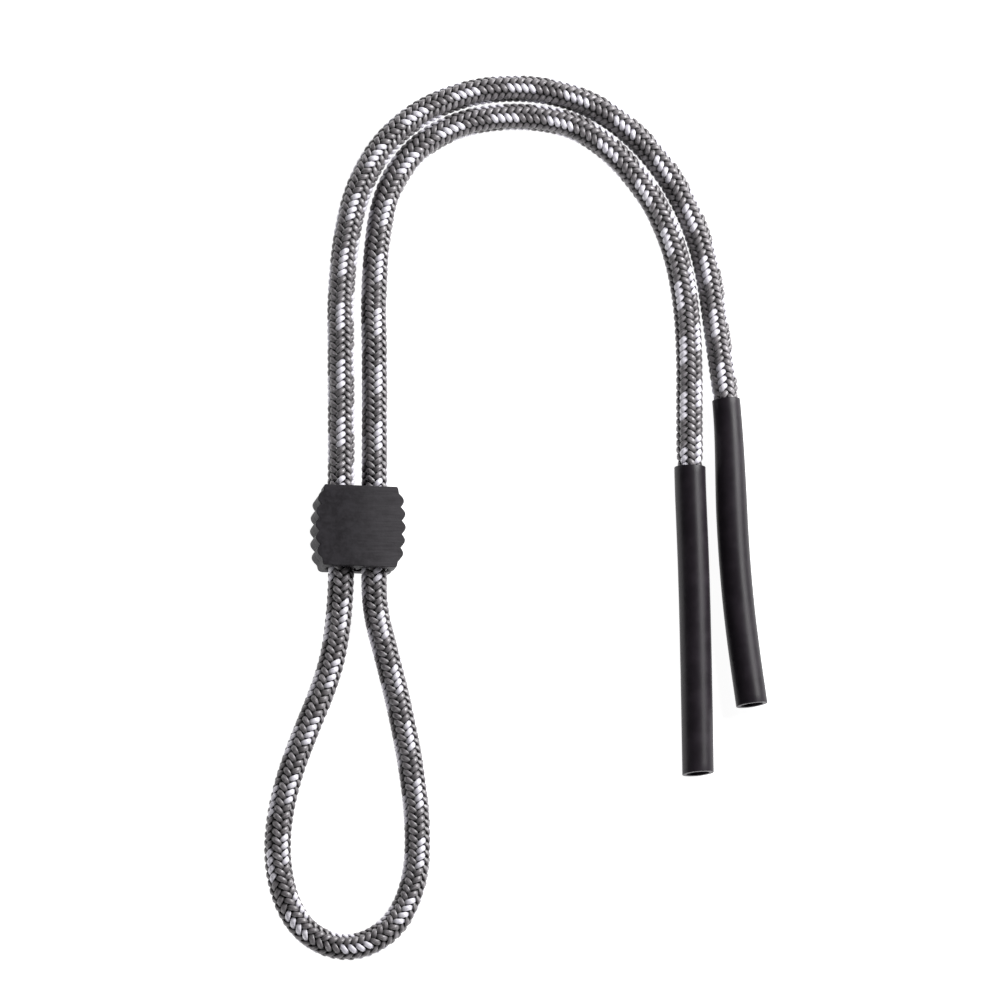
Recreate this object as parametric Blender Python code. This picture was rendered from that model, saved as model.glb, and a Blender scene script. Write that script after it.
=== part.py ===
"""Eyeglass retainer strap, laid flat on the plane z = 0, in metres.

One braided cord is doubled back through a two-bore slider, so that it makes a loop below the slider
and two runs above it. Each run ends in a soft rubber tube that grips a temple arm of the glasses.
The slider's underside is centred on the origin and its bores run along Y.
"""

import math

import bmesh
import bpy
import numpy as np
from mathutils import Matrix, Vector

MM = 0.001
FIT_GAP = 0.3 * MM  # between two pieces that touch
SHARP_ANGLE = math.radians(35)  # edges that turn more than this aren't shaded smooth

# Braided cord
CORD_DIAMETER = 5.0 * MM
SHEATH_WALL = 0.9 * MM
CORD_SQUEEZE = 0.3 * MM  # taken off the cord's radius where a tube grips it
SQUEEZE_LENGTH = 3.0 * MM
FRAME_STEP = 0.2 * MM  # the cord's direction is taken over this distance each way
CORD_POINTS = 80
CORD_SIDES_STEP = 4  # a bevel resolution of 4 makes 12 sides
CORE_SIDES_STEP = 2

# Temple tubes
TUBE_LENGTH = 61.0 * MM
TUBE_BORE = 4.5 * MM
TUBE_WALL = 0.85 * MM
TUBE_RIM = 0.15 * MM
TUBE_SOCKET_DEPTH = 14.0 * MM
TUBE_SOCKET_STEP = 1.0 * MM
CORD_INSERT = 12.0 * MM
TUBE_CLEARANCE = 0.25 * MM  # from the squeezed cord to the socket's wall
LEFT_TUBE_CUT = math.radians(4.5)  # its free end isn't cut square
TUBE_CUT_REACH = 6.0 * MM
TUBE_SIDES = 24
TUBE_STATIONS = 10
SEAL_THICKNESS = 1.2 * MM

# Slider
SLIDER_LENGTH = 16.0 * MM
SLIDER_WIDTH = 17.8 * MM
SLIDER_HEIGHT = 8.7 * MM
SLIDER_ASKEW = math.radians(-0.8)  # it sits slightly turned on the cords
SLIDER_TRAVEL = 25.0 * MM
SLIDER_EDGE = 0.35 * MM
EDGE_SEGMENTS = 2
BORE_SPACING = 6.6 * MM
BORE_CLEARANCE = 0.25 * MM
BORE_SIDES = 28
CUTTER_REACH = 1.0 * MM  # past the faces that a cutter goes through
PARTING_HEIGHT = 4.25 * MM  # the shells meet in the plane of the bores' axes
WEB_SLOT_FLOOR = 2.4 * MM  # the lower shell's web stops here, which leaves a slot between the bores
BARREL_RADIUS = 33.0 * MM
SCALLOP_COUNT = 5
SCALLOP_DEPTH = 0.75 * MM
SCALLOP_END = 1.325 * MM  # plain stretch between the last scallop and the end face
SCALLOP_STEPS = 6
CORNER_TAPER = 0.15 * MM
PEG_RADIUS = 0.5 * MM
PEG_HEIGHT = 1.5 * MM
PEG_SIDES = 12

# Rises of the cord's centreline from the table into the slider and the tubes
SLIDER_RAMP = 13.0 * MM
TUBE_RAMP = 15.0 * MM
LEVEL_LEAD = 1.0 * MM  # the cord is level this far past the slider's ends
RUNS_REACH = 20.0 * MM  # only the cord's two runs through the slider lie this near to x = 0

CORD_RADIUS = CORD_DIAMETER / 2
GRIPPED_RADIUS = CORD_RADIUS - CORD_SQUEEZE
TUBE_RADIUS = TUBE_BORE / 2 + TUBE_WALL
SOCKET_RADIUS = GRIPPED_RADIUS + TUBE_CLEARANCE
BORE_RADIUS = CORD_RADIUS + BORE_CLEARANCE + SLIDER_LENGTH / 2 * abs(math.sin(SLIDER_ASKEW))
SCALLOP_PITCH = (SLIDER_LENGTH - 2 * SCALLOP_END) / SCALLOP_COUNT
RUN = BORE_SPACING / 2 / MM  # the straight runs' distance from x = 0, in millimetres

# The strap's centreline in plan, in millimetres, from the right tube's free end to the left one's
ROUTE = [
    (78.1, -32.7), (75.8, -15.5), (74.2, 6.0), (73.2, 27.2),
    (71.4, 42.0), (69.1, 56.0), (64.5, 68.3), (56.5, 79.3), (45.2, 87.0),
    (32.3, 89.4), (19.4, 87.2), (8.4, 80.6), (1.2, 70.4), (-2.4, 56.0),
    (-RUN, 42.0), (-RUN, 22.0), (-RUN, 4.0), (-RUN, -10.0),
    (-4.9, -26.0), (-9.9, -40.0), (-14.7, -55.6), (-14.6, -70.2), (-9.3, -79.7),
    (-1.0, -82.3), (6.8, -78.3), (11.3, -69.2), (12.0, -57.5), (9.7, -40.5), (5.3, -22.0),
    (3.5, -14.0), (RUN, -6.0), (RUN, 8.0), (RUN, 24.0), (RUN, 42.0),
    (4.0, 57.0), (6.9, 69.5), (12.9, 77.4), (21.5, 82.1), (32.3, 83.7),
    (43.2, 82.0), (52.6, 75.4), (60.2, 64.8), (64.6, 51.0), (65.9, 36.0), (65.9, 14.8),
    (66.4, 0.0), (67.0, -22.0), (67.4, -46.6),
]
ROUTE_STEPS = 4000


def clear_scene():
    for obj in list(bpy.data.objects):
        bpy.data.objects.remove(obj, do_unlink=True)


def ramp(value):
    """0 below 0, 1 above 1, and a smooth S between."""
    t = np.clip(value, 0.0, 1.0)
    return t * t * (3 - 2 * t)


def cubic_through(points, steps):
    """A natural cubic spline through the points, spaced by their chords."""
    points = np.array(points)
    knots = np.concatenate([[0], np.cumsum(np.linalg.norm(np.diff(points, axis=0), axis=1))])
    gaps = np.diff(knots)
    system = np.eye(len(points))
    pull = np.zeros(points.shape)
    for i in range(1, len(points) - 1):
        system[i, i - 1 : i + 2] = gaps[i - 1], 2 * (gaps[i - 1] + gaps[i]), gaps[i]
        slopes = (points[i + 1] - points[i]) / gaps[i], (points[i] - points[i - 1]) / gaps[i - 1]
        pull[i] = 6 * (slopes[0] - slopes[1])
    bend = np.linalg.solve(system, pull)
    at = np.linspace(0, knots[-1], steps)
    k = np.clip(np.searchsorted(knots, at, side="right") - 1, 0, len(gaps) - 1)
    gap = gaps[k][:, None]
    left = (knots[k + 1] - at)[:, None]
    right = (at - knots[k])[:, None]
    curved = (bend[k] * left**3 + bend[k + 1] * right**3) / (6 * gap)
    from_left = (points[k] / gap - bend[k] * gap / 6) * left
    from_right = (points[k + 1] / gap - bend[k + 1] * gap / 6) * right
    return curved + from_left + from_right


class Centreline:
    """The strap's centreline by arc length. A place past either end lies straight on from it."""

    def __init__(self):
        plan = cubic_through(ROUTE, ROUTE_STEPS) * MM
        steps = np.linalg.norm(np.diff(plan, axis=0), axis=1)
        self.run = np.concatenate([[0], np.cumsum(steps)])
        self.plan = plan
        self.length = self.run[-1]

    def plan_at(self, distance):
        inside = np.clip(distance, 0, self.length)
        place = np.array([np.interp(inside, self.run, self.plan[:, i]) for i in (0, 1)])
        start, end = (self.plan[0] - self.plan[1]), (self.plan[-1] - self.plan[-2])
        if distance < 0:
            place += start / np.linalg.norm(start) * -distance
        if distance > self.length:
            place += end / np.linalg.norm(end) * (distance - self.length)
        return place

    def height_at(self, distance, place):
        """The cord lies on the table, and rises into the tubes and through the slider."""
        x, y = place
        from_end = min(distance, self.length - distance)
        in_tube = ramp((TUBE_LENGTH + TUBE_RAMP - from_end) / TUBE_RAMP)
        reach = SLIDER_LENGTH / 2 + LEVEL_LEAD + SLIDER_RAMP
        rise = ramp((reach + y) / SLIDER_RAMP) * ramp((reach + SLIDER_TRAVEL - y) / SLIDER_RAMP)
        in_slider = rise * (abs(x) < RUNS_REACH)
        return (
            CORD_RADIUS
            + (TUBE_RADIUS - CORD_RADIUS) * in_tube
            + (PARTING_HEIGHT - CORD_RADIUS) * in_slider
        )

    def at(self, distance):
        place = self.plan_at(distance)
        return Vector((place[0], place[1], self.height_at(distance, place)))

    def frame_at(self, distance):
        """Place, direction, level side direction and up direction."""
        ahead, behind = self.at(distance + FRAME_STEP), self.at(distance - FRAME_STEP)
        along = (ahead - behind).normalized()
        side = along.cross(Vector((0, 0, 1))).normalized()
        return self.at(distance), along, side, side.cross(along)


def material(name, colour, roughness, metallic=0.0):
    made = bpy.data.materials.new(name)
    made.use_nodes = True
    shader = made.node_tree.nodes["Principled BSDF"]
    shader.inputs["Base Color"].default_value = (*colour, 1)
    shader.inputs["Roughness"].default_value = roughness
    shader.inputs["Metallic"].default_value = metallic
    return made


def add_object(name, data, finish=None):
    obj = bpy.data.objects.new(name, data)
    bpy.context.scene.collection.objects.link(obj)
    if finish:
        data.materials.append(finish)
    return obj


def mesh_object(name, bm, finish=None, smooth=False):
    bmesh.ops.recalc_face_normals(bm, faces=bm.faces)
    mesh = bpy.data.meshes.new(name)
    bm.to_mesh(mesh)
    bm.free()
    if smooth:
        mesh.shade_smooth()
        mesh.set_sharp_from_angle(angle=SHARP_ANGLE)
    return add_object(name, mesh, finish)


def as_cutter(obj):
    obj.hide_render = True
    obj.display_type = "WIRE"
    return obj


def boolean(obj, tool, operation):
    modifier = obj.modifiers.new(tool.name, "BOOLEAN")
    modifier.object = tool
    modifier.operation = operation
    modifier.solver = "EXACT"


# ---------------------------------------------------------------- cord


def cord_stations(line, inset, count):
    """Arc lengths along the cord, closer together where it narrows into a tube's mouth."""
    first = TUBE_LENGTH - CORD_INSERT + inset
    mouth = [first, TUBE_LENGTH - CORD_INSERT / 2, TUBE_LENGTH, TUBE_LENGTH + SQUEEZE_LENGTH]
    middle = np.linspace(mouth[-1], line.length - mouth[-1], count - 2 * len(mouth) + 2)
    return mouth[:-1] + list(middle) + [line.length - s for s in reversed(mouth[:-1])]


def squeezed(line, distance):
    """How far the cord's radius is drawn in at this place."""
    outside = min(distance, line.length - distance) - TUBE_LENGTH
    return CORD_SQUEEZE * (1 - ramp(outside / SQUEEZE_LENGTH))


def cord_curve(name, line, radius, inset, count, sides_step, finish):
    curve = bpy.data.curves.new(name, "CURVE")
    curve.dimensions = "3D"
    curve.bevel_depth = radius
    curve.bevel_resolution = sides_step
    curve.use_fill_caps = True
    spline = curve.splines.new("POLY")
    stations = cord_stations(line, inset, count)
    spline.points.add(len(stations) - 1)
    for point, distance in zip(spline.points, stations):
        point.co = (*line.at(distance), 1)
        point.radius = (radius - squeezed(line, distance)) / radius
    return add_object(name, curve, finish)


def make_cord(line):
    """The hollow braided sheath and the filler yarns inside it."""
    braid = material("braid_grey_white", (0.16, 0.16, 0.16), 0.75)
    yarn = material("filler_yarn", (0.62, 0.61, 0.60), 0.9)
    sheath = cord_curve("cord_sheath", line, CORD_RADIUS, 0, CORD_POINTS, CORD_SIDES_STEP, braid)
    sheath.data.use_fill_caps = False
    wall = sheath.modifiers.new("wall", "SOLIDIFY")
    wall.thickness = SHEATH_WALL
    wall.offset = -1
    core_radius = CORD_RADIUS - SHEATH_WALL - FIT_GAP
    cord_curve("cord_core", line, core_radius, FIT_GAP, CORD_POINTS, CORE_SIDES_STEP, yarn)


def seal_profile():
    """A melted disc with rounded edges, as (distance from its inner face, radius)."""
    rounds = 4
    half = SEAL_THICKNESS / 2
    for i in range(2 * rounds + 1):
        turn = math.pi * i / (2 * rounds)
        yield half - half * math.cos(turn), GRIPPED_RADIUS - half + half * math.sin(turn)


# ---------------------------------------------------------------- swept round pieces


def ring(bm, frame, radius, sides, slope=0.0):
    """A ring of vertices about a frame. slope slants it along the frame's direction."""
    place, along, side, up = frame
    verts = []
    for i in range(sides):
        turn = 2 * math.pi * i / sides
        across = radius * math.cos(turn)
        offset = side * across + up * (radius * math.sin(turn)) + along * (slope * across)
        verts.append(bm.verts.new(place + offset))
    return verts


def skin(bm, first, second):
    for i in range(len(first)):
        j = (i + 1) % len(first)
        bm.faces.new((first[i], first[j], second[j], second[i]))


def tube_profile():
    """The tube's wall as (distance from its mouth, radius), down the outside and back up the bore."""
    bore = TUBE_BORE / 2
    straight = np.linspace(0, TUBE_LENGTH, TUBE_STATIONS + 1)[1:-1]
    below_socket = [s for s in straight if s > TUBE_SOCKET_DEPTH + 2 * TUBE_SOCKET_STEP]
    outer = [(0, TUBE_RADIUS - TUBE_RIM), (TUBE_RIM, TUBE_RADIUS)]
    outer += [(s, TUBE_RADIUS) for s in straight]
    outer += [(TUBE_LENGTH - TUBE_RIM, TUBE_RADIUS), (TUBE_LENGTH, TUBE_RADIUS - TUBE_RIM)]
    inner = [(TUBE_LENGTH, bore + TUBE_RIM), (TUBE_LENGTH - TUBE_RIM, bore)]
    inner += [(s, bore) for s in reversed(below_socket)]
    inner += [(TUBE_SOCKET_DEPTH + TUBE_SOCKET_STEP, bore), (TUBE_SOCKET_DEPTH, SOCKET_RADIUS)]
    inner += [(TUBE_SOCKET_DEPTH / 2, SOCKET_RADIUS)]
    inner += [(TUBE_RIM, SOCKET_RADIUS), (0, SOCKET_RADIUS + TUBE_RIM)]
    return outer + inner


def make_tube(name, line, side_sign, cut, rubber):
    """side_sign is -1 for the tube at the centreline's start and 1 for the one at its end."""

    def station(depth):
        if side_sign < 0:
            return TUBE_LENGTH - depth
        return line.length - TUBE_LENGTH + depth

    bm = bmesh.new()
    rings = []
    for depth, radius in tube_profile():
        share = max(0.0, 1 - (TUBE_LENGTH - depth) / TUBE_CUT_REACH)
        frame = line.frame_at(station(depth))
        rings.append(ring(bm, frame, radius, TUBE_SIDES, math.tan(cut) * share))
    for first, second in zip(rings, rings[1:] + rings[:1]):
        skin(bm, first, second)
    return mesh_object(name, bm, rubber, smooth=True)


def make_seal(name, line, side_sign, finish):
    """The melted end of the cord, inside its tube."""
    bm = bmesh.new()
    start = TUBE_LENGTH - CORD_INSERT - FIT_GAP
    rings = []
    for depth, radius in seal_profile():
        distance = start - depth
        place = distance if side_sign < 0 else line.length - distance
        rings.append(ring(bm, line.frame_at(place), radius, TUBE_SIDES))
    for first, second in zip(rings, rings[1:]):
        skin(bm, first, second)
    bm.faces.new(rings[0])
    bm.faces.new(rings[-1])
    return mesh_object(name, bm, finish, smooth=True)


# ---------------------------------------------------------------- slider


def half_width(y):
    """The slider's half width: a barrel curve with rounded scallops cut into it."""
    barrel = SLIDER_WIDTH / 2 - y * y / (2 * BARREL_RADIUS)
    return barrel - SCALLOP_DEPTH * (1 - abs(math.cos(math.pi * y / SCALLOP_PITCH)))


def slider_outline():
    """The slider's plan, anticlockwise."""
    last = SCALLOP_COUNT / 2 * SCALLOP_PITCH
    levels = np.linspace(-last, last, SCALLOP_COUNT * SCALLOP_STEPS + 1)
    corner = half_width(last) - CORNER_TAPER
    right = [(half_width(y), y) for y in levels]
    right = [(corner, -SLIDER_LENGTH / 2)] + right + [(corner, SLIDER_LENGTH / 2)]
    return right + [(-x, y) for x, y in reversed(right)]


def block(name, bottom, top, rounded, finish):
    """The slider's outline from bottom to top, with the edge at the height rounded bevelled."""
    bm = bmesh.new()
    base = bm.faces.new([bm.verts.new((x, y, bottom)) for x, y in slider_outline()])
    grown = bmesh.ops.extrude_face_region(bm, geom=[base])["geom"]
    new_verts = [item for item in grown if isinstance(item, bmesh.types.BMVert)]
    bmesh.ops.translate(bm, verts=new_verts, vec=(0, 0, top - bottom))
    rim = [e for e in bm.edges if all(abs(v.co.z - rounded) < FIT_GAP / 10 for v in e.verts)]
    bmesh.ops.bevel(
        bm, geom=rim, offset=SLIDER_EDGE, segments=EDGE_SEGMENTS, profile=0.5, affect="EDGES"
    )
    return mesh_object(name, bm, finish, smooth=True)


def rods(name, places, radius, start, end, sides, turn=Matrix()):
    """Round rods along Z from start to end, one at each place, all turned by turn."""
    bm = bmesh.new()
    for x, y in places:
        shift = Matrix.Translation((x, y, (start + end) / 2))
        bmesh.ops.create_cone(
            bm,
            cap_ends=True,
            segments=sides,
            radius1=radius,
            radius2=radius,
            depth=end - start,
            matrix=turn @ shift,
        )
    return mesh_object(name, bm)


def slot_cutter():
    """The gap between the lower shell's web and the upper one's."""
    bm = bmesh.new()
    height = 2 * (PARTING_HEIGHT - WEB_SLOT_FLOOR)
    size = (BORE_SPACING - BORE_RADIUS, SLIDER_LENGTH + 2 * CUTTER_REACH, height)
    shift = Matrix.Translation((0, 0, PARTING_HEIGHT))
    bmesh.ops.create_cube(bm, size=1, matrix=shift @ Matrix.Diagonal((*size, 1)))
    return as_cutter(mesh_object("web_slot_cutter", bm))


def peg_places():
    """Each peg stands behind a scallop's crest, midway between it and the bore's wall."""
    crest = half_width(SCALLOP_PITCH)
    bore_wall = BORE_SPACING / 2 + BORE_RADIUS
    x = (crest + bore_wall) / 2
    return [(sx * x, sy * SCALLOP_PITCH) for sx in (-1, 1) for sy in (-1, 1)]


def make_slider():
    """Two snapped shells around the cord's two runs, both on the empty that marks the slide's axis."""
    plastic = material("slider_plastic", (0.035, 0.034, 0.036), 0.5)
    axis = add_object("slider_slide_axis", None)
    axis.location = (0, 0, PARTING_HEIGHT)
    axis.rotation_euler = (0, 0, SLIDER_ASKEW)

    parting = PARTING_HEIGHT
    lower = block("slider_bottom_shell", 0, parting - FIT_GAP / 2, 0, plastic)
    upper = block("slider_top_shell", parting + FIT_GAP / 2, SLIDER_HEIGHT, SLIDER_HEIGHT, plastic)

    reach = SLIDER_LENGTH / 2 + CUTTER_REACH
    lie_down = Matrix.Rotation(math.radians(90), 4, "X")
    bores = [(sign * BORE_SPACING / 2, parting) for sign in (-1, 1)]
    bore_cutter = rods("bore_cutter", bores, BORE_RADIUS, -reach, reach, BORE_SIDES, lie_down)
    low, high = parting - PEG_HEIGHT, parting + PEG_HEIGHT
    pegs = rods("peg_maker", peg_places(), PEG_RADIUS, low, high, PEG_SIDES)
    socket_radius = PEG_RADIUS + FIT_GAP
    sockets = rods("socket_cutter", peg_places(), socket_radius, low, high + FIT_GAP, PEG_SIDES)
    slot = slot_cutter()

    boolean(lower, as_cutter(bore_cutter), "DIFFERENCE")
    boolean(lower, slot, "DIFFERENCE")
    boolean(lower, as_cutter(pegs), "UNION")
    boolean(upper, bore_cutter, "DIFFERENCE")
    boolean(upper, as_cutter(sockets), "DIFFERENCE")

    for piece in (lower, upper, bore_cutter, sockets, pegs, slot):
        piece.parent = axis
        piece.matrix_parent_inverse = Matrix.Translation((0, 0, -PARTING_HEIGHT))


def main():
    clear_scene()
    line = Centreline()
    make_cord(line)
    rubber = material("tube_rubber", (0.012, 0.011, 0.012), 0.45)
    melt = material("melted_fibre", (0.08, 0.08, 0.08), 0.4)
    for name, side_sign, cut in (("right", -1, 0.0), ("left", 1, LEFT_TUBE_CUT)):
        make_tube(f"temple_tube_{name}", line, side_sign, cut, rubber)
        make_seal(f"cord_end_seal_{name}", line, side_sign, melt)
    make_slider()


main()
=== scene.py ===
"""Looks of the eyeglass retainer strap: a braided cord of real interlaced strands, two soft rubber
temple tubes and a moulded two-shell slider, on a pale floor under soft studio light.

Lengths are in metres, in the row frame: the slider's underside is centred on the origin, its bores
run along Y, and the strap lies on the plane z = 0.
"""

import math

import bmesh
import bpy
import numpy as np
from mathutils import Matrix, Vector


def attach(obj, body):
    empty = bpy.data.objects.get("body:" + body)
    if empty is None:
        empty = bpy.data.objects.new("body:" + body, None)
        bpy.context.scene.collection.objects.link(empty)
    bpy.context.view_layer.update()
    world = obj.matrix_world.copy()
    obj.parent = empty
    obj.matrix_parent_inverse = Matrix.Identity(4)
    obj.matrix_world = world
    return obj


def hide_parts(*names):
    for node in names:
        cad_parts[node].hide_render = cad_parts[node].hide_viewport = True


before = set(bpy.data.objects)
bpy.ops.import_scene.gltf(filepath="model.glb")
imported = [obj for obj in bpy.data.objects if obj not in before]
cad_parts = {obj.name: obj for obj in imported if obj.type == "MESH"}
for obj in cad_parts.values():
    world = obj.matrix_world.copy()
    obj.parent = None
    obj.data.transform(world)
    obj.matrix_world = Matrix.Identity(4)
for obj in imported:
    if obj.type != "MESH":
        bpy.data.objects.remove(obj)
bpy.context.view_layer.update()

MM = 0.001
TURN = 2 * math.pi

# Sizes that the looks share with the CAD
CORD_DIAMETER = 5.0 * MM
CORD_SQUEEZE = 0.3 * MM
SQUEEZE_LENGTH = 3.0 * MM
CORD_INSERT = 12.0 * MM
TUBE_LENGTH = 61.0 * MM
TUBE_BORE = 4.5 * MM
TUBE_WALL = 0.85 * MM
TUBE_SOCKET_DEPTH = 14.0 * MM
TUBE_SOCKET_STEP = 1.0 * MM
TUBE_CLEARANCE = 0.25 * MM
LEFT_TUBE_CUT = math.radians(4.5)
TUBE_CUT_REACH = 6.0 * MM
SEAL_THICKNESS = 1.2 * MM
FIT_GAP = 0.3 * MM
SLIDER_LENGTH = 16.0 * MM
SLIDER_WIDTH = 17.8 * MM
SLIDER_HEIGHT = 8.7 * MM
SLIDER_ASKEW = math.radians(-0.8)
SLIDER_TRAVEL = 25.0 * MM
BORE_SPACING = 6.6 * MM
BORE_CLEARANCE = 0.25 * MM
PARTING_HEIGHT = 4.25 * MM
WEB_SLOT_FLOOR = 2.4 * MM
BARREL_RADIUS = 33.0 * MM
SCALLOP_COUNT = 5
SCALLOP_DEPTH = 0.75 * MM
SCALLOP_END = 1.325 * MM
CORNER_TAPER = 0.15 * MM

# The cord's rises from the table into the slider and the tubes
SLIDER_RAMP = 13.0 * MM
TUBE_RAMP = 15.0 * MM
LEVEL_LEAD = 1.0 * MM
RUNS_REACH = 20.0 * MM

CORD_RADIUS = CORD_DIAMETER / 2
TUBE_RADIUS = TUBE_BORE / 2 + TUBE_WALL
GRIPPED_RADIUS = CORD_RADIUS - CORD_SQUEEZE
SOCKET_RADIUS = GRIPPED_RADIUS + TUBE_CLEARANCE
BORE_RADIUS = CORD_RADIUS + BORE_CLEARANCE + SLIDER_LENGTH / 2 * abs(math.sin(SLIDER_ASKEW))
SCALLOP_PITCH = (SLIDER_LENGTH - 2 * SCALLOP_END) / SCALLOP_COUNT
RUN = BORE_SPACING / 2 / MM

# The strap's centreline in plan, in millimetres, from the right tube's free end to the left one's
ROUTE = [
    (78.1, -32.7), (75.8, -15.5), (74.2, 6.0), (73.2, 27.2),
    (71.4, 42.0), (69.1, 56.0), (64.5, 68.3), (56.5, 79.3), (45.2, 87.0),
    (32.3, 89.4), (19.4, 87.2), (8.4, 80.6), (1.2, 70.4), (-2.4, 56.0),
    (-RUN, 42.0), (-RUN, 22.0), (-RUN, 4.0), (-RUN, -10.0),
    (-4.9, -26.0), (-9.9, -40.0), (-14.7, -55.6), (-14.6, -70.2), (-9.3, -79.7),
    (-1.0, -82.3), (6.8, -78.3), (11.3, -69.2), (12.0, -57.5), (9.7, -40.5), (5.3, -22.0),
    (3.5, -14.0), (RUN, -6.0), (RUN, 8.0), (RUN, 24.0), (RUN, 42.0),
    (4.0, 57.0), (6.9, 69.5), (12.9, 77.4), (21.5, 82.1), (32.3, 83.7),
    (43.2, 82.0), (52.6, 75.4), (60.2, 64.8), (64.6, 51.0), (65.9, 36.0), (65.9, 14.8),
    (66.4, 0.0), (67.0, -22.0), (67.4, -46.6),
]
ROUTE_STEPS = 4000
DIRECTION_STEP = 0.2 * MM

# Braid: as many strands wind one way as the other, and each passes over two and under two
STRANDS_EACH_WAY = 8
BRAID_PITCH = 11.3 * MM
RINGS_PER_PITCH = 44
STRAND_SIDES = 10
STRAND_WIDTH = 1.06 * MM
STRAND_THICKNESS = 0.66 * MM
STRAND_SQUARENESS = 0.72  # power of its section's superellipse: 1 is an ellipse, less is squarer
STRAND_WAVE = 0.38 * MM
STRAND_MIDDLE = 1.97 * MM  # mean distance from the cord's centreline to a strand's
STRAND_NARROWEST = 0.46  # its width where it dives, as a share of its full width
STRAND_NARROWS = (-0.26, 0.40)  # from narrowest to full width between these shares of the wave
STRAND_FLATTENING = 0.20  # how much thinner it is halfway through a dive
PRESSED_HEIGHT = 0.01 * MM  # the cord is pressed flat this far above the surface
COLUMNS_EACH_WAY = 4  # columns of stitches round the cord that show one way's strands
MAP_FOLDS = 12  # lengths that a strand's map is cut into
MAP_MARGIN = 0.02  # left free at each side of a length, as a share of its width
MAP_END_MARGIN = 0.001

# Bundle of filler yarns inside the braid
FILLER_RADIUS = 1.58 * MM
FILLER_LOBES = 9
FILLER_SIDES_PER_LOBE = 4
FILLER_LOBE_HEIGHT = 0.04
FILLER_TWIST = 4 * BRAID_PITCH
FILLER_RING_STEP = 6

# The lie of the braid: where each change starts and how far it runs, in millimetres from the
# right tube's free end, and its degrees. The roll turns the whole cord, and brings other columns
# of stitches to the top. The lag holds the helices back, where the cord is pulled longer.
ROLL_START = 8
ROLL_CHANGES = [(100, 110, -29), (243, 20, 30), (300, 60, 58), (505, 115, -32)]
LAG_START = 230
LAG_CHANGES = [(60, 45, 40), (215, 185, -300), (427, 17, -105), (540, 80, 20)]

# The rubber tubes narrow towards their mouths
RIGHT_MOUTH_TAPER = 0.34 * MM
LEFT_MOUTH_TAPER = 0.02 * MM
MOUTH_TAPER_LENGTH = 24 * MM
TUBE_RIM = 0.16 * MM
TUBE_STATIONS = 46
TUBE_SIDES = 72
CUT_FACE_DEPTH = 0.05 * MM

# Melted ends
SEAL_SIDES = 48
SEAL_ROUNDS = 10
SEAL_LUMP = 0.06 * MM
SEAL_SWELL = 0.03 * MM

# Finish of the moulded slider
SCALLOP_STEPS = 14
UPPER_CORNER_RADIUS = 0.45 * MM
LOWER_CORNER_RADIUS = 0.9 * MM
SLIDER_RIM = 0.16 * MM
SLIDER_SOFTENING = 0.07 * MM
SHARP_ANGLE = math.radians(40)
PARTING_GAP = 0.04 * MM  # each half stops this far from the parting plane
BORE_SIDES = 64
BORE_LEAD = 0.25 * MM
CUTTER_REACH = 1.0 * MM


# ---------------------------------------------------------------- camera

PICTURE_WIDTH = 196.08 * MM
LENS = 600.0
CAMERA_TARGET = Vector((28.7, 7.4, 0.0)) * MM
CAMERA_RIGHT = Vector((0.990, 0.0, 0.141))
CAMERA_UP = Vector((-0.0257, 0.983, 0.180))


def make_camera():
    data = bpy.data.cameras.new("camera")
    data.lens = LENS
    data.sensor_width = 36.0
    distance = PICTURE_WIDTH * data.lens / data.sensor_width
    data.clip_end = 4 * distance
    camera = bpy.data.objects.new("camera", data)
    bpy.context.scene.collection.objects.link(camera)
    right = CAMERA_RIGHT.normalized()
    back = right.cross(CAMERA_UP).normalized()
    turned = Matrix((right, back.cross(right), back)).transposed()
    camera.matrix_world = Matrix.Translation(CAMERA_TARGET + back * distance) @ turned.to_4x4()
    bpy.context.scene.camera = camera


make_camera()


# ---------------------------------------------------------------- centreline


def ramp(value):
    """0 below 0, 1 above 1, and a smooth S between."""
    t = np.clip(value, 0.0, 1.0)
    return t * t * (3 - 2 * t)


def cubic_through(points, steps):
    """A natural cubic spline through the points, spaced by their chords."""
    points = np.array(points)
    knots = np.concatenate([[0], np.cumsum(np.linalg.norm(np.diff(points, axis=0), axis=1))])
    gaps = np.diff(knots)
    system = np.eye(len(points))
    pull = np.zeros(points.shape)
    for i in range(1, len(points) - 1):
        system[i, i - 1 : i + 2] = gaps[i - 1], 2 * (gaps[i - 1] + gaps[i]), gaps[i]
        slopes = (points[i + 1] - points[i]) / gaps[i], (points[i] - points[i - 1]) / gaps[i - 1]
        pull[i] = 6 * (slopes[0] - slopes[1])
    bend = np.linalg.solve(system, pull)
    at = np.linspace(0, knots[-1], steps)
    k = np.clip(np.searchsorted(knots, at, side="right") - 1, 0, len(gaps) - 1)
    gap = gaps[k][:, None]
    left = (knots[k + 1] - at)[:, None]
    right = (at - knots[k])[:, None]
    curved = (bend[k] * left**3 + bend[k + 1] * right**3) / (6 * gap)
    from_left = (points[k] / gap - bend[k] * gap / 6) * left
    from_right = (points[k + 1] / gap - bend[k + 1] * gap / 6) * right
    return curved + from_left + from_right


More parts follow.
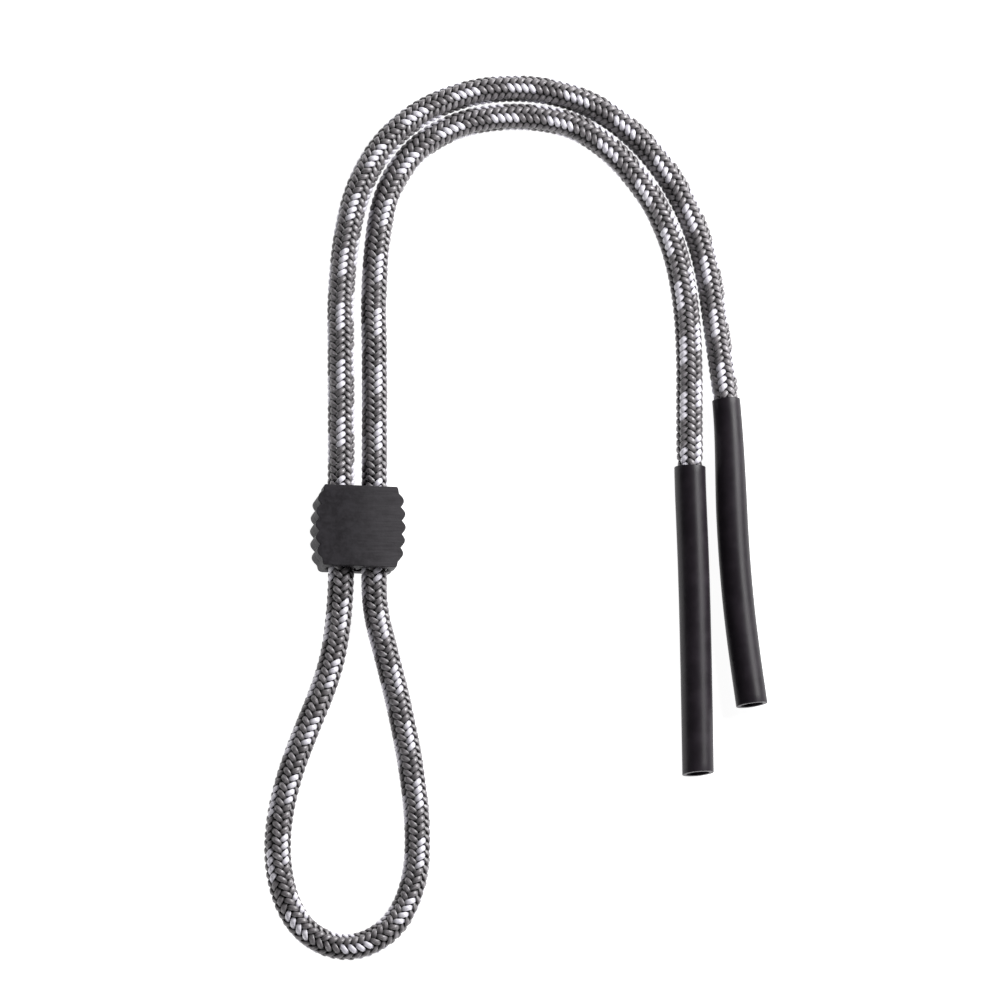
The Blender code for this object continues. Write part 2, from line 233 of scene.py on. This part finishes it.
class Centreline:
    """The strap's centreline by arc length in plan."""

    def __init__(self):
        self.plan = cubic_through(ROUTE, ROUTE_STEPS) * MM
        steps = np.linalg.norm(np.diff(self.plan, axis=0), axis=1)
        self.run = np.concatenate([[0], np.cumsum(steps)])
        self.length = self.run[-1]

    def places(self, distances):
        """The cord lies on the table, and rises into the tubes and through the slider."""
        x, y = (np.interp(distances, self.run, self.plan[:, i]) for i in (0, 1))
        for end, before, outside in (
            (0, 1, np.minimum(distances, 0)),
            (-1, -2, np.minimum(self.length - distances, 0)),
        ):
            lead = self.plan[end] - self.plan[before]
            lead = lead / np.linalg.norm(lead)
            x = x - outside * lead[0]
            y = y - outside * lead[1]
        from_end = np.minimum(distances, self.length - distances)
        in_tube = ramp((TUBE_LENGTH + TUBE_RAMP - from_end) / TUBE_RAMP)
        reach = SLIDER_LENGTH / 2 + LEVEL_LEAD + SLIDER_RAMP
        rise = ramp((reach + y) / SLIDER_RAMP) * ramp((reach + SLIDER_TRAVEL - y) / SLIDER_RAMP)
        in_slider = rise * (np.abs(x) < RUNS_REACH)
        z = CORD_RADIUS + (TUBE_RADIUS - CORD_RADIUS) * in_tube
        z = z + (PARTING_HEIGHT - CORD_RADIUS) * in_slider
        return np.stack([x, y, z], axis=1)

    def frames(self, distances):
        """Places, directions, level side directions and up directions."""
        step = DIRECTION_STEP
        along = unit(self.places(distances + step) - self.places(distances - step))
        side = unit(np.cross(along, (0.0, 0.0, 1.0)))
        return self.places(distances), along, side, np.cross(side, along)


def unit(vectors):
    return vectors / np.linalg.norm(vectors, axis=1, keepdims=True)


LINE = Centreline()


# ---------------------------------------------------------------- meshes


def mesh_piece(name, points, faces, body, material=None, uv=None, lift=None):
    """A smooth mesh of quads or triangles that rides on a body.

    uv has one pair for each face corner, and lift one number for each point.
    """
    mesh = bpy.data.meshes.new(name)
    faces = np.asarray(faces, np.int32)
    corners = faces.shape[1]
    mesh.vertices.add(len(points))
    mesh.vertices.foreach_set("co", np.asarray(points, np.float32).ravel())
    mesh.loops.add(faces.size)
    mesh.loops.foreach_set("vertex_index", faces.ravel())
    mesh.polygons.add(len(faces))
    mesh.polygons.foreach_set("loop_start", np.arange(0, faces.size, corners, dtype=np.int32))
    mesh.update(calc_edges=True)
    if uv is not None:
        layer = mesh.uv_layers.new(name="OFBake")
        layer.data.foreach_set("uv", np.asarray(uv, np.float32).ravel())
    if lift is not None:
        mesh.attributes.new("lift", "FLOAT", "POINT").data.foreach_set("value", lift)
    mesh.validate()
    mesh.shade_smooth()
    return add_piece(name, mesh, body, material)


def add_piece(name, mesh, body, material=None):
    piece = bpy.data.objects.new(name, mesh)
    bpy.context.scene.collection.objects.link(piece)
    if material:
        mesh.materials.append(material)
    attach(piece, body)
    return piece


def ring_grid(rings, sides, first=0):
    """Quads between rings of vertices that follow each other."""
    i = np.arange(rings - 1)[:, None] * sides
    j = np.arange(sides)[None, :]
    after = (j + 1) % sides
    quads = np.stack([i + j, i + after, i + sides + after, i + sides + j], axis=-1)
    return quads.reshape(-1, 4) + first


# ---------------------------------------------------------------- materials


class Nodes:
    """A small helper that makes and links shader nodes.

    A socket is named by a keyword, with _ for a space, or by its number, as in i6.
    """

    def __init__(self, name):
        self.material = bpy.data.materials.new(name)
        self.material.use_nodes = True
        self.tree = self.material.node_tree
        self.shader = self.tree.nodes["Principled BSDF"]

    def put(self, kind, settings=None, **inputs):
        node = self.tree.nodes.new("ShaderNode" + kind)
        for key, value in (settings or {}).items():
            setattr(node, key, value)
        for key, value in inputs.items():
            self.feed(node, key.replace("_", " "), value)
        return node

    def feed(self, node, key, value):
        numbered = key[0] == "i" and key[1:].isdigit()
        socket = node.inputs[int(key[1:]) if numbered else key]
        if isinstance(value, bpy.types.NodeSocket):
            self.tree.links.new(value, socket)
        else:
            socket.default_value = value

    def math(self, operation, first, second=0.0):
        return self.put("Math", {"operation": operation}, i0=first, i1=second).outputs[0]

    def mix(self, share, first, second):
        node = self.put("Mix", {"data_type": "RGBA"})
        self.feed(node, "i0", share)
        self.feed(node, "i6", first)
        self.feed(node, "i7", second)
        return node.outputs[2]

    def span(self, value, low, high, to_low=0.0, to_high=1.0):
        node = self.put("MapRange", {"interpolation_type": "SMOOTHSTEP"})
        for i, number in enumerate((value, low, high, to_low, to_high)):
            self.feed(node, f"i{i}", number)
        return node.outputs[0]

    def noise(self, vector, scale, detail=3.0, roughness=0.5):
        node = self.put("TexNoise", None, Scale=scale, Detail=detail, Roughness=roughness)
        self.feed(node, "Vector", vector)
        return node.outputs[0]

    def scaled(self, vector, x, y, z):
        node = self.put("Mapping", {"vector_type": "TEXTURE"}, Scale=(1 / x, 1 / y, 1 / z))
        self.feed(node, "Vector", vector)
        return node.outputs[0]

    def place(self):
        return self.put("TexCoord").outputs["Object"]

    def bump(self, height, distance):
        return self.put("Bump", None, Height=height, Distance=distance).outputs[0]

    def surface(self, **inputs):
        for key, value in inputs.items():
            self.feed(self.shader, key.replace("_", " "), value)


def rgb(text):
    """A linear colour with alpha from a hex one."""
    values = [int(text[i : i + 2], 16) / 255 for i in (0, 2, 4)]
    linear = [((v + 0.055) / 1.055) ** 2.4 if v > 0.04045 else v / 12.92 for v in values]
    return (*linear, 1.0)


def strand_material(name, *tones):
    """Flat multifilament yarn: fine filaments along the strand, each a little lighter or darker.

    The tones are four hex colours: a painted shade for the yarn that lies low in the braid's gaps,
    then the darkest, middle and lightest filaments.
    """
    n = Nodes(name)
    gap_shade, dark, middle, light = map(rgb, tones)
    place = n.put("UVMap", {"uv_map": "OFBake"}).outputs[0]
    filament = n.noise(n.scaled(place, 1150.0, 30.0, 1.0), 1.0, 2.0)
    coarse = n.noise(n.scaled(place, 400.0, 55.0, 1.0), 1.0, 2.0)
    patch = n.noise(n.place(), 420.0, 2.0)
    shade = n.math("ADD", n.math("MULTIPLY", filament, 0.55), n.math("MULTIPLY", coarse, 0.45))
    tone = n.math("ADD", shade, n.math("MULTIPLY", n.math("SUBTRACT", patch, 0.5), 0.35))
    low = n.mix(n.span(tone, 0.25, 0.5), dark, middle)
    yarn = n.mix(n.span(tone, 0.5, 0.78), low, light)
    lift = n.put("Attribute", {"attribute_name": "lift"}).outputs["Fac"]
    # Painted shade: the yarn is darkened to the first tone where it lies low in the braid's gaps.
    colour = n.mix(n.span(lift, 0.84, 1.03), gap_shade, yarn)
    rough = n.span(tone, 0.2, 0.8, 0.46, 0.30)
    n.surface(Base_Color=colour, Roughness=rough, Normal=n.bump(shade, 0.06 * MM))
    n.surface(Sheen_Weight=0.2, Sheen_Roughness=0.4, Specular_IOR_Level=0.65)
    return n.material


def filler_shade_material():
    n = Nodes("filler_yarn")
    place = n.place()
    tone = n.noise(place, 900.0, 4.0)
    # Painted shade: the filler is coloured near black for the shade deep inside the braid.
    colour = n.mix(n.span(tone, 0.3, 0.7), rgb("0c0c0d"), rgb("1a1a1b"))
    n.surface(Base_Color=colour, Roughness=n.span(tone, 0.3, 0.7, 0.95, 0.8))
    n.surface(Normal=n.bump(tone, 0.1 * MM))
    return n.material


def melt_material():
    n = Nodes("melted_fibre")
    place = n.place()
    lump = n.noise(place, 1400.0, 4.0)
    colour = n.mix(n.span(lump, 0.35, 0.65), rgb("242325"), rgb("4b494c"))
    n.surface(Base_Color=colour, Roughness=n.span(lump, 0.3, 0.7, 0.25, 0.55))
    n.surface(Normal=n.bump(lump, 0.12 * MM))
    return n.material


def rubber_material():
    """Satin extruded rubber: faint lines along the tube, a fine bloom and a few handling marks."""
    n = Nodes("tube_rubber")
    place = n.place()
    lines = n.noise(n.scaled(place, 2600.0, 60.0, 2600.0), 1.0, 2.0)
    grain = n.noise(place, 5200.0, 3.0)
    bloom = n.noise(place, 190.0, 4.0, 0.6)
    colour = n.mix(n.span(bloom, 0.35, 0.7), rgb("1f1b20"), rgb("29242a"))
    height = n.math("ADD", n.math("MULTIPLY", lines, 0.5), n.math("MULTIPLY", grain, 0.5))
    rough = n.math("ADD", n.span(bloom, 0.3, 0.7, 0.32, 0.40), n.math("MULTIPLY", grain, 0.06))
    n.surface(Base_Color=colour, Roughness=rough, Normal=n.bump(height, 0.012 * MM))
    n.surface(Specular_IOR_Level=0.21)
    return n.material


def rim_highlight_material():
    """The knife-cut end of the tube: paler, a painted highlight of its lit rim, with fine drag marks
    across it.
    """
    n = Nodes("tube_cut_rim_painted_highlight")
    place = n.place()
    drag = n.noise(n.scaled(place, 900.0, 900.0, 6000.0), 1.0, 3.0)
    # Painted highlight: the rim's pale tones.
    colour = n.mix(n.span(drag, 0.3, 0.7), rgb("4d4b4e"), rgb("777479"))
    n.surface(Base_Color=colour, Roughness=n.span(drag, 0.3, 0.7, 0.7, 0.5))
    n.surface(Normal=n.bump(drag, 0.02 * MM))
    return n.material


def plastic_material():
    """Charcoal moulded plastic: a spark-eroded grain, faint tone changes, paler rubbed edges, and fine
    scuff marks from side to side, which grow paler and denser towards +X as a painted sheen of the key
    light.
    """
    n = Nodes("slider_plastic")
    place = n.place()
    grain = n.noise(place, 3600.0, 4.0, 0.6)
    cloud = n.noise(place, 260.0, 5.0, 0.6)
    mottle = n.noise(place, 1100.0, 4.0, 0.65)
    scratch = n.noise(n.scaled(place, 220.0, 2400.0, 900.0), 1.0, 2.0)
    edge = n.put("NewGeometry").outputs["Pointiness"]
    rubbed = n.math("MULTIPLY", n.span(edge, 0.52, 0.62), n.span(cloud, 0.3, 0.6))
    tone = n.math("ADD", n.math("MULTIPLY", cloud, 0.5), n.math("MULTIPLY", mottle, 0.5))
    body = n.mix(n.span(tone, 0.35, 0.65), rgb("211f22"), rgb("302e32"))
    across = n.put("SeparateXYZ", None, Vector=place).outputs[0]
    # Painted sheen: the scuff tone grows towards +X, the side where the key light's sheen falls; the
    # streaks themselves are scuff marks.
    side = n.span(across, -5 * MM, 8 * MM)
    scuffs_and_sheen = n.math("MULTIPLY", side, n.span(scratch, 0.20, 0.80, 0.40, 0.80))
    scuffed_and_sheened = n.mix(scuffs_and_sheen, body, rgb("4b494c"))
    colour = n.mix(n.math("MULTIPLY", rubbed, 0.6), scuffed_and_sheened, rgb("6a686b"))
    matte = n.span(mottle, 0.35, 0.65, 0.50, 0.56)
    rough = n.math("ADD", matte, n.math("MULTIPLY", rubbed, -0.12))
    fine = n.math("ADD", n.math("MULTIPLY", grain, 0.4), n.math("MULTIPLY", scratch, 0.2))
    height = n.math("ADD", fine, n.math("MULTIPLY", mottle, 0.4))
    n.surface(Base_Color=colour, Roughness=rough, Normal=n.bump(height, 0.05 * MM))
    n.surface(Specular_IOR_Level=0.12)
    return n.material


# ---------------------------------------------------------------- cord


def cord_shape(distances):
    """How much the cord's section is drawn in at these places, where a tube grips it."""
    outside = np.minimum(distances, LINE.length - distances) - TUBE_LENGTH
    drawn_in = CORD_SQUEEZE * (1 - ramp(outside / SQUEEZE_LENGTH))
    return 1 - drawn_in / CORD_RADIUS


CORD_START = TUBE_LENGTH - CORD_INSERT
CORD_RINGS = round((LINE.length - 2 * CORD_START) / BRAID_PITCH * RINGS_PER_PITCH)
CORD_STATIONS = np.linspace(CORD_START, LINE.length - CORD_START, CORD_RINGS)
CORD_FRAMES = LINE.frames(CORD_STATIONS)


def lie(start, changes, distances):
    """The roll or the lag along the cord, in radians."""
    steps = [change * ramp((distances / MM - at) / over) for at, over, change in changes]
    return np.radians(start + sum(steps))


def strand(way, number):
    """One strand's points, its run at each ring, and each point's lift.

    Lift is the distance from the cord's middle, where the cord's radius is 1. way is 1 for a
    left-handed helix and -1 for a right-handed one.
    """
    places, along, side, up = CORD_FRAMES
    lag = lie(LAG_START, LAG_CHANGES, CORD_STATIONS)
    winding = way * (TURN * CORD_STATIONS / BRAID_PITCH + lag) + TURN * number / STRANDS_EACH_WAY
    wave = np.cos(COLUMNS_EACH_WAY * (winding - TURN / 4 / STRANDS_EACH_WAY))
    over = -way * wave * np.sqrt(np.abs(wave))
    turn = winding + lie(ROLL_START, ROLL_CHANGES, CORD_STATIONS)
    squeeze = cord_shape(CORD_STATIONS)
    radius = (STRAND_MIDDLE + STRAND_WAVE * over) * squeeze
    outward = side * np.cos(turn)[:, None] + up * np.sin(turn)[:, None]
    centre = places + outward * radius[:, None]
    heading = unit(np.gradient(centre, axis=0))
    across = unit(np.cross(heading, outward))
    outward = np.cross(across, heading)
    narrow_at, full_at = STRAND_NARROWS
    opened = ramp((over - narrow_at) / (full_at - narrow_at))
    width = STRAND_WIDTH / 2 * (STRAND_NARROWEST + (1 - STRAND_NARROWEST) * opened)
    height = STRAND_THICKNESS / 2 * (1 - STRAND_FLATTENING + STRAND_FLATTENING * over)
    rings = []
    for i in range(STRAND_SIDES):
        angle = TURN * (i + 0.5) / STRAND_SIDES
        x, y = math.cos(angle), math.sin(angle)
        x, y = (math.copysign(abs(value) ** STRAND_SQUARENESS, value) for value in (x, y))
        offset = across * (width * x)[:, None] + outward * (height * y)[:, None]
        rings.append(centre + offset)
    points = np.stack(rings, axis=1).reshape(-1, 3)
    points[:, 2] = np.maximum(points[:, 2], PRESSED_HEIGHT)
    run = np.concatenate([[0], np.cumsum(np.linalg.norm(np.diff(centre, axis=0), axis=1))])
    out = points - np.repeat(places, STRAND_SIDES, axis=0)
    lift = np.linalg.norm(out, axis=1) / np.repeat(squeeze, STRAND_SIDES) / CORD_RADIUS
    return points, run, lift


def strand_group(name, way, numbers, material):
    """Several strands as one mesh, each with its own strip of the map."""
    points, faces, uv, lift = [], [], [], []
    grid = ring_grid(CORD_RINGS, STRAND_SIDES)
    for number in numbers:
        made, run, out = strand(way, number)
        faces.append(grid + sum(len(p) for p in points))
        points.append(made)
        lift.append(out)
        uv.append(strip_map(run, len(uv), len(numbers)))
    points, faces, uv, lift = (np.concatenate(parts) for parts in (points, faces, uv, lift))
    return mesh_piece(name, points, faces, "strap", material, uv, lift)


def strip_map(run, which, count):
    """A strand's map, cut into lengths that lie side by side, so that its shape is near square."""
    last = CORD_RINGS - 1
    per_fold = math.ceil(last / MAP_FOLDS)
    ring_at = np.arange(last)
    fold = ring_at // per_fold
    lane_width = 1 / (count * MAP_FOLDS)
    lane = (which * MAP_FOLDS + fold) * lane_width
    start = run[fold * per_fold]
    starts = np.arange(MAP_FOLDS) * per_fold
    longest = (run[np.minimum(starts + per_fold, last)] - run[starts]).max()
    used = (1 - 2 * MAP_END_MARGIN) / longest
    v0 = MAP_END_MARGIN + (run[ring_at] - start) * used
    v1 = MAP_END_MARGIN + (run[ring_at + 1] - start) * used
    side = np.arange(STRAND_SIDES) / STRAND_SIDES
    free = 1 - 2 * MAP_MARGIN
    u0 = lane[:, None] + lane_width * (MAP_MARGIN + free * side[None, :])
    u1 = u0 + lane_width * free / STRAND_SIDES
    v0, v1 = (np.repeat(v[:, None], STRAND_SIDES, axis=1) for v in (v0, v1))
    corners = [(u0, v0), (u1, v0), (u1, v1), (u0, v1)]
    return np.stack([np.stack(c, axis=-1) for c in corners], axis=2).reshape(-1, 2)


def make_cord():
    # The first tone of each strand material is a painted shade for the yarn in the braid's gaps.
    grey = strand_material("strand_grey", "161516", "403d3f", "767275", "bab6bb")
    white = strand_material("strand_white", "5b5862", "c2bfcb", "e6e3ec", "f6f5fa")
    half = STRANDS_EACH_WAY // 2
    first = strand_group("strands_left_handed_a", 1, range(half), grey)
    others = [
        strand_group("strands_left_handed_b", 1, range(half, 2 * half), grey),
        strand_group("strands_right_handed_grey", -1, range(half), grey),
        strand_group("strands_right_handed_white", -1, range(half, 2 * half), white),
        make_filler(),
    ]
    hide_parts("cord_sheath")
    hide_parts("cord_core")
    melt = melt_material()
    others += [make_seal("melted_end_right", -1, melt), make_seal("melted_end_left", 1, melt)]


def make_filler():
    """The bundle of filler yarns inside the braid, which closes the gaps between its strands and shows
    there as painted shade.
    """
    sides = FILLER_LOBES * FILLER_SIDES_PER_LOBE
    stations = CORD_STATIONS[::FILLER_RING_STEP]
    places, along, side, up = LINE.frames(stations)
    squeeze = cord_shape(stations)
    rings = []
    for i in range(sides):
        angle = TURN * i / sides
        lobe = 1 + FILLER_LOBE_HEIGHT * math.cos(FILLER_LOBES * angle)
        turn = angle + TURN * stations / FILLER_TWIST
        outward = side * np.cos(turn)[:, None] + up * np.sin(turn)[:, None]
        rings.append(places + outward * (FILLER_RADIUS * lobe * squeeze)[:, None])
    points = np.stack(rings, axis=1).reshape(-1, 3)
    faces = ring_grid(len(stations), sides)
    return mesh_piece("filler_bundle", points, faces, "strap", filler_shade_material())


# ---------------------------------------------------------------- tubes


def rounded(corner_a, corner_b, inner, steps=4):
    """Points of a quarter round from corner_a to corner_b about the inner corner."""
    (ax, ay), (bx, by), (cx, cy) = corner_a, corner_b, inner
    for i in range(steps + 1):
        angle = math.pi / 2 * i / steps
        c, s = math.cos(angle), math.sin(angle)
        yield cx + (ax - cx) * c + (bx - cx) * s, cy + (ay - cy) * c + (by - cy) * s


def tube_profile(taper):
    """The tube's wall as (distance from its mouth, radius), down the outside and back up the bore."""
    rim = TUBE_RIM
    bore = TUBE_BORE / 2
    mouth = TUBE_RADIUS - taper
    stations = np.linspace(rim, TUBE_LENGTH - rim, TUBE_STATIONS)[1:-1]
    mouth_out = rounded((0, mouth - rim), (rim, mouth), (rim, mouth - rim))
    outer_round, inner_round = TUBE_RADIUS - rim / 2, bore + rim / 2
    near_end = TUBE_LENGTH - rim / 2
    end_out = rounded((near_end, TUBE_RADIUS), (TUBE_LENGTH, outer_round), (near_end, outer_round))
    end_in = rounded((TUBE_LENGTH, inner_round), (near_end, bore), (near_end, inner_round))
    drawn_in = taper * (1 - ramp(stations / MOUTH_TAPER_LENGTH))
    outer = list(mouth_out) + list(zip(stations, TUBE_RADIUS - drawn_in)) + list(end_out)
    below = [s for s in stations if s > TUBE_SOCKET_DEPTH + 2 * TUBE_SOCKET_STEP]
    inner = list(end_in) + [(s, bore) for s in reversed(below)]
    inner += [(TUBE_SOCKET_DEPTH + TUBE_SOCKET_STEP, bore), (TUBE_SOCKET_DEPTH, SOCKET_RADIUS)]
    inner += [(TUBE_SOCKET_DEPTH * share, SOCKET_RADIUS) for share in (0.75, 0.5, 0.25)]
    inner += rounded((rim, SOCKET_RADIUS), (0, SOCKET_RADIUS + rim), (rim, SOCKET_RADIUS + rim))
    return np.array(outer + inner)


def make_tube(name, side_sign, cut, taper, rubber, rim_highlight):
    """side_sign is -1 for the tube at the centreline's start and 1 for the one at its end."""
    sides = TUBE_SIDES
    profile = tube_profile(taper)
    depth, radius = profile[:, 0], profile[:, 1]
    station = TUBE_LENGTH - depth if side_sign < 0 else LINE.length - TUBE_LENGTH + depth
    places, along, side, up = LINE.frames(station)
    slope = math.tan(cut) * np.maximum(0.0, 1 - (TUBE_LENGTH - depth) / TUBE_CUT_REACH)
    rings = []
    for i in range(sides):
        turn = TURN * i / sides
        across = radius * math.cos(turn)
        offset = side * across[:, None] + up * (radius * math.sin(turn))[:, None]
        rings.append(places + offset + along * (slope * across)[:, None])
    points = np.stack(rings, axis=1).reshape(-1, 3)
    closed = np.concatenate([ring_grid(len(depth), sides), closing_quads(len(depth), sides)])
    if side_sign < 0:
        closed = closed[:, ::-1]
    piece = mesh_piece(name, points, closed, "strap", rubber)
    # The end faces take the painted rim highlight.
    piece.data.materials.append(rim_highlight)
    at_end = depth > TUBE_LENGTH - CUT_FACE_DEPTH
    for polygon in piece.data.polygons:
        if all(at_end[v // sides] for v in polygon.vertices):
            polygon.material_index = 1
    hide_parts(name.replace("_soft", ""))
    return piece


def closing_quads(rings, sides):
    last = (rings - 1) * sides
    j = np.arange(sides)
    after = (j + 1) % sides
    return np.stack([last + j, last + after, after, j], axis=-1)


# ---------------------------------------------------------------- melted ends


def make_seal(name, side_sign, finish):
    """The melted end of the cord: a lumpy rounded cap."""
    sides = SEAL_SIDES
    turns = np.linspace(0, math.pi, 2 * SEAL_ROUNDS + 1)
    half = SEAL_THICKNESS / 2
    distance = CORD_START - FIT_GAP - half * (1 - np.cos(turns))
    station = distance if side_sign < 0 else LINE.length - distance
    places, along, side, up = LINE.frames(station)
    rings = []
    for i in range(sides):
        turn = TURN * i / sides
        lump = SEAL_LUMP * math.cos(STRANDS_EACH_WAY * turn) + SEAL_SWELL * math.sin(3 * turn)
        reach = GRIPPED_RADIUS - half + (half + lump) * np.sin(turns) - SEAL_LUMP
        across = side * math.cos(turn) + up * math.sin(turn)
        rings.append(places + across * reach[:, None])
    points = np.stack(rings, axis=1).reshape(-1, 3)
    faces = ring_grid(len(turns), sides)
    bm = bmesh.new()
    verts = [bm.verts.new(p) for p in points]
    for face in faces:
        bm.faces.new([verts[i] for i in face])
    for first in (0, len(points) - sides):
        bm.faces.new(verts[first : first + sides])
    bmesh.ops.recalc_face_normals(bm, faces=bm.faces)
    mesh = bpy.data.meshes.new(name)
    bm.to_mesh(mesh)
    bm.free()
    mesh.shade_smooth()
    mesh.set_sharp_from_angle(angle=math.radians(50))
    piece = add_piece(name, mesh, "strap", finish)
    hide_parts(name.replace("melted_end", "cord_end_seal"))
    return piece


# ---------------------------------------------------------------- slider


def half_width(y):
    """The slider's half width: a barrel curve with rounded scallops cut into it."""
    barrel = SLIDER_WIDTH / 2 - y * y / (2 * BARREL_RADIUS)
    return barrel - SCALLOP_DEPTH * (1 - abs(math.cos(math.pi * y / SCALLOP_PITCH)))


def slider_outline(steps, radius):
    """The slider's plan, anticlockwise, with its four corners rounded to this radius."""
    last = SCALLOP_COUNT / 2 * SCALLOP_PITCH
    levels = np.linspace(-last, last, SCALLOP_COUNT * steps + 1)
    corner = half_width(last) - CORNER_TAPER
    end = SLIDER_LENGTH / 2
    centre = (corner - radius, end - radius)
    top = list(rounded((corner, end - radius), (corner - radius, end), centre))
    right = [(x, -y) for x, y in reversed(top)] + [(half_width(y), y) for y in levels] + top
    return right + [(-x, y) for x, y in reversed(right)]


def slider_block(name, bottom, top, rim_height, corner_radius):
    """The slider's outline from bottom to top, with one rim rounded over."""
    bm = bmesh.new()
    outline = slider_outline(SCALLOP_STEPS, corner_radius)
    base = bm.faces.new([bm.verts.new((x, y, bottom)) for x, y in outline])
    grown = bmesh.ops.extrude_face_region(bm, geom=[base])["geom"]
    new_verts = [item for item in grown if isinstance(item, bmesh.types.BMVert)]
    bmesh.ops.translate(bm, verts=new_verts, vec=(0, 0, top - bottom))
    rim = [e for e in bm.edges if all(abs(v.co.z - rim_height) < 0.01 * MM for v in e.verts)]
    bmesh.ops.bevel(bm, geom=rim, offset=SLIDER_RIM, segments=3, profile=0.5, affect="EDGES")
    bmesh.ops.recalc_face_normals(bm, faces=bm.faces)
    return plain_object(name, bm)


def plain_object(name, bm):
    mesh = bpy.data.meshes.new(name)
    bm.to_mesh(mesh)
    bm.free()
    obj = bpy.data.objects.new(name, mesh)
    bpy.context.scene.collection.objects.link(obj)
    return obj


def bore_cutter():
    """Both bores, each with a small lead-in chamfer at its mouths."""
    bm = bmesh.new()
    sides = BORE_SIDES
    half = SLIDER_LENGTH / 2
    lead = BORE_LEAD
    past = CUTTER_REACH
    profile = [
        (-half - past, BORE_RADIUS + lead), (-half, BORE_RADIUS + lead), (-half + lead, BORE_RADIUS),
        (half - lead, BORE_RADIUS), (half, BORE_RADIUS + lead), (half + past, BORE_RADIUS + lead),
    ]
    for sign in (-1, 1):
        rings = []
        for y, radius in profile:
            ring = []
            for i in range(sides):
                turn = TURN * (i + 0.5) / sides
                x = sign * BORE_SPACING / 2 + radius * math.cos(turn)
                ring.append(bm.verts.new((x, y, PARTING_HEIGHT + radius * math.sin(turn))))
            rings.append(ring)
        for first, second in zip(rings, rings[1:]):
            for i in range(sides):
                j = (i + 1) % sides
                bm.faces.new((first[i], first[j], second[j], second[i]))
        bm.faces.new(rings[0])
        bm.faces.new(rings[-1])
    bmesh.ops.recalc_face_normals(bm, faces=bm.faces)
    return plain_object("bore_cutter", bm)


def box_cutter(size, centre):
    bm = bmesh.new()
    bmesh.ops.create_cube(bm, size=1, matrix=Matrix.Translation(centre) @ Matrix.Diagonal((*size, 1)))
    return plain_object("box_cutter", bm)


def cut(obj, *tools):
    for tool in tools:
        modifier = obj.modifiers.new(tool.name, "BOOLEAN")
        modifier.object = tool
        modifier.operation = "DIFFERENCE"
        modifier.solver = "EXACT"


def applied(obj):
    """The object's mesh with its modifiers applied, which becomes its own."""
    graph = bpy.context.evaluated_depsgraph_get()
    obj.data = bpy.data.meshes.new_from_object(obj.evaluated_get(graph))
    obj.modifiers.clear()
    return obj.data


def make_slider():
    plastic = plastic_material()
    below, above = PARTING_HEIGHT - PARTING_GAP, PARTING_HEIGHT + PARTING_GAP
    top = SLIDER_HEIGHT
    lower = slider_block("slider_lower_half", 0, below, 0, LOWER_CORNER_RADIUS)
    upper = slider_block("slider_upper_half", above, top, top, UPPER_CORNER_RADIUS)
    bores = bore_cutter()
    slot_height = 2 * (PARTING_HEIGHT - WEB_SLOT_FLOOR)
    slot_size = (BORE_SPACING - BORE_RADIUS, 2 * SLIDER_LENGTH, slot_height)
    slot = box_cutter(slot_size, (0, 0, PARTING_HEIGHT))
    cut(lower, bores, slot)
    cut(upper, bores)
    turned = Matrix.Rotation(SLIDER_ASKEW, 4, "Z")
    for obj, node in ((lower, "slider_bottom_shell"), (upper, "slider_top_shell")):
        softened = obj.modifiers.new("edges", "BEVEL")
        softened.width = SLIDER_SOFTENING
        softened.segments = 2
        softened.limit_method = "ANGLE"
        softened.angle_limit = SHARP_ANGLE
        softened.use_clamp_overlap = True
        mesh = applied(obj)
        mesh.transform(turned)
        mesh.shade_smooth()
        mesh.set_sharp_from_angle(angle=SHARP_ANGLE)
        flattened = obj.modifiers.new("normals", "WEIGHTED_NORMAL")
        flattened.keep_sharp = True
        flattened.weight = 100
        mesh = applied(obj)
        mesh.materials.clear()
        mesh.materials.append(plastic)
        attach(obj, "slider")
        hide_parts(node)
    for tool in (bores, slot):
        bpy.data.objects.remove(tool, do_unlink=True)


# ---------------------------------------------------------------- surroundings

FLOOR_HALF_WIDTH = 1.6
LIGHT_TARGET = (0.03, 0.0, 0.0)


def area_light(name, place, size, power):
    """A rectangular studio light that faces the middle of the strap."""
    data = bpy.data.lights.new(name, "AREA")
    data.shape = "RECTANGLE"
    data.size, data.size_y = size
    data.energy = power
    light = bpy.data.objects.new(name, data)
    light.location = place
    facing = Vector(LIGHT_TARGET) - Vector(place)
    light.rotation_euler = facing.to_track_quat("-Z", "Y").to_euler()
    bpy.context.scene.collection.objects.link(light)


def make_surroundings():
    bm = bmesh.new()
    bmesh.ops.create_grid(bm, x_segments=1, y_segments=1, size=FLOOR_HALF_WIDTH)
    floor = plain_object("floor", bm)
    n = Nodes("pale_floor")
    tone = n.noise(n.place(), 30.0, 3.0)
    pale = n.mix(tone, (0.50, 0.50, 0.50, 1), (0.53, 0.53, 0.53, 1))
    n.surface(Base_Color=pale, Roughness=0.9)
    n.surface(Emission_Color=(1, 1, 1, 1), Emission_Strength=0.95)
    floor.data.materials.append(n.material)
    world = bpy.data.worlds.new("studio")
    bpy.context.scene.world = world
    world.use_nodes = True
    background = world.node_tree.nodes["Background"]
    background.inputs["Color"].default_value = (1.0, 1.0, 1.0, 1)
    background.inputs["Strength"].default_value = 0.03
    area_light("key", (0.55, 0.36, 0.42), (0.36, 0.5), 12.0)
    area_light("fill", (-0.55, -0.75, 0.40), (0.5, 0.4), 2.2)
    bpy.context.scene.view_settings.view_transform = "Standard"


make_cord()
RUBBER = rubber_material()
RIM_HIGHLIGHT = rim_highlight_material()
make_tube("temple_tube_soft_right", -1, 0.0, RIGHT_MOUTH_TAPER, RUBBER, RIM_HIGHLIGHT)
make_tube("temple_tube_soft_left", 1, LEFT_TUBE_CUT, LEFT_MOUTH_TAPER, RUBBER, RIM_HIGHLIGHT)
make_slider()
make_surroundings()
